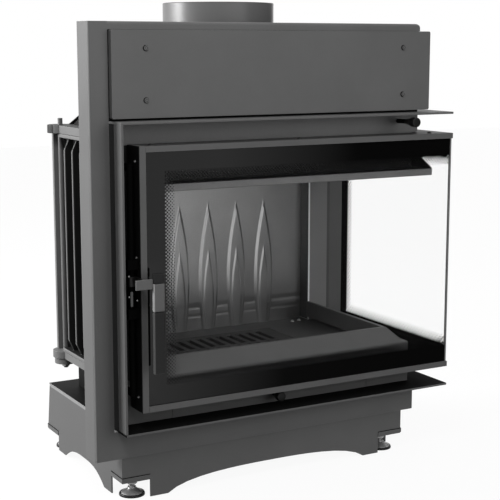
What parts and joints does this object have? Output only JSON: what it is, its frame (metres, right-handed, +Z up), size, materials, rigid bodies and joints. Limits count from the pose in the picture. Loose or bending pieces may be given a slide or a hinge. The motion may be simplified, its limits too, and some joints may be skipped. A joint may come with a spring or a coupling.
{
  "type": "wood-burning fireplace insert",
  "caption": "Cast iron wood-burning fireplace insert with a folded sheet frame, an L-shaped corner glass door, a ribbed fire chamber, a flue collar and levelling feet.",
  "frame": {"origin": "middle of the bottom of the bounding box, on the floor that the levelling feet stand on", "axes": "+X to the right seen from the front, -Y out of the front glass, +Z up"},
  "size_m": [0.7046, 0.439, 0.84],
  "materials": {
    "frame_paint": "graphite grey heat-resistant powder coat, fine matt",
    "pedestal_paint": "graphite grey heat-resistant paint, matt",
    "door_paint": "graphite grey heat-resistant paint, matt",
    "hood_paint": "graphite grey heat-resistant paint, matt",
    "handle_paint": "graphite grey paint, satin",
    "front_iron": "cast iron with graphite paint, fine grained",
    "raw_iron": "dark cast iron, lightly grained",
    "lining_iron": "light grey painted cast iron",
    "black_steel": "black heat-resistant paint",
    "bright_steel": "zinc-plated steel",
    "grip_plastic": "black heat-resistant grip, satin",
    "door_glass": "ceramic glass with a black printed border",
    "seal_rope": "black woven glass-fibre rope"
  },
  "bodies": {
    "stove": {"air_box": "frame_paint", "apron_centre": "front_iron", "apron_left": "front_iron", "apron_right": "front_iron", "ash_pan": "frame_paint", "back_plate": "lining_iron", "back_wall": "raw_iron", "baffle_plate": "lining_iron", "bottom_shelf": "frame_paint", "cover_carrier": "black_steel", "cover_plate": "frame_paint", "flue_collar": "hood_paint", "foot_bracket_front_left": "pedestal_paint", "foot_bracket_front_right": "pedestal_paint", "foot_bracket_rear_left": "pedestal_paint", "foot_bracket_rear_right": "pedestal_paint", "front_casting": "front_iron", "front_frame": "frame_paint", "hearth_casting": "raw_iron", "hinge_bracket_lower": "black_steel", "hinge_bracket_upper": "black_steel", "left_lining": "raw_iron", "left_wall": "raw_iron", "pedestal_back": "pedestal_paint", "pedestal_top": "pedestal_paint", "pedestal_walls": "pedestal_paint", "rear_column": "raw_iron", "side_casting": "front_iron", "sill": "raw_iron", "sleeve_left_wall": "frame_paint", "smoke_hood": "hood_paint", "strike_lower": "bright_steel", "strike_upper": "bright_steel", "throat_lip": "raw_iron", "tie_rod_left": "bright_steel", "tie_rod_right": "bright_steel", "top_casting": "raw_iron", "top_shelf": "frame_paint"},
    "door": {"door_bottom_rail": "door_paint", "door_left_stile": "door_paint", "door_rear_stile": "door_paint", "door_seal": "seal_rope", "door_top_rail": "door_paint", "front_glass": "door_glass", "latch_case": "black_steel", "side_glass": "door_glass"},
    "handle": {"handle_arm": "handle_paint", "handle_cap": "grip_plastic", "handle_grip": "grip_plastic", "handle_sleeve": "handle_paint", "latch_shaft": "bright_steel"},
    "damper": {"damper_flap": "raw_iron"},
    "damper_rod": {"damper_rod": "black_steel"},
    "air_control": {"air_gate": "frame_paint", "air_rod": "black_steel"},
    "grate": {"grate": "raw_iron"},
    "foot_front_left": {"levelling_foot_front_left": "bright_steel"},
    "foot_front_right": {"levelling_foot_front_right": "bright_steel"},
    "foot_rear_left": {"levelling_foot_rear_left": "bright_steel"},
    "foot_rear_right": {"levelling_foot_rear_right": "bright_steel"}
  },
  "joints": [
    {"name": "door_swing", "type": "hinge", "parent": "stove", "child": "door", "pos_m": [0.33775, 0.1895, 0.383], "axis": [0, 0, 1], "range_deg": [0, 90]},
    {"name": "handle_turn", "type": "hinge", "parent": "door", "child": "handle", "pos_m": [-0.29225, -0.1755, 0.383], "axis": [0, 0, -1], "range_deg": [-8, 28]},
    {"name": "damper_turn", "type": "hinge", "parent": "stove", "child": "damper", "pos_m": [-0.02125, 0.0295, 0.659], "axis": [-1, 0, 0], "range_deg": [0, 80]},
    {"name": "damper_pull", "type": "slide", "parent": "stove", "child": "damper_rod", "axis": [0, -1, 0], "range_m": [0, 0.0395]},
    {"name": "air_pull", "type": "slide", "parent": "stove", "child": "air_control", "axis": [0, -1, 0], "range_m": [0, 0.04]},
    {"name": "grate_lift", "type": "slide", "parent": "stove", "child": "grate", "axis": [0, 0, 1], "range_m": [0, 0.06]},
    {"name": "foot_front_left_screw", "type": "slide", "parent": "stove", "child": "foot_front_left", "axis": [0, 0, 1], "range_m": [-0.02, 0]},
    {"name": "foot_front_right_screw", "type": "slide", "parent": "stove", "child": "foot_front_right", "axis": [0, 0, 1], "range_m": [-0.02, 0]},
    {"name": "foot_rear_left_screw", "type": "slide", "parent": "stove", "child": "foot_rear_left", "axis": [0, 0, 1], "range_m": [-0.02, 0]},
    {"name": "foot_rear_right_screw", "type": "slide", "parent": "stove", "child": "foot_rear_right", "axis": [0, 0, 1], "range_m": [-0.02, 0]}
  ],
  "couplings": [
    {"joint": "damper_pull", "follows": "damper_turn", "m_per_rad": 0.02829}
  ]
}
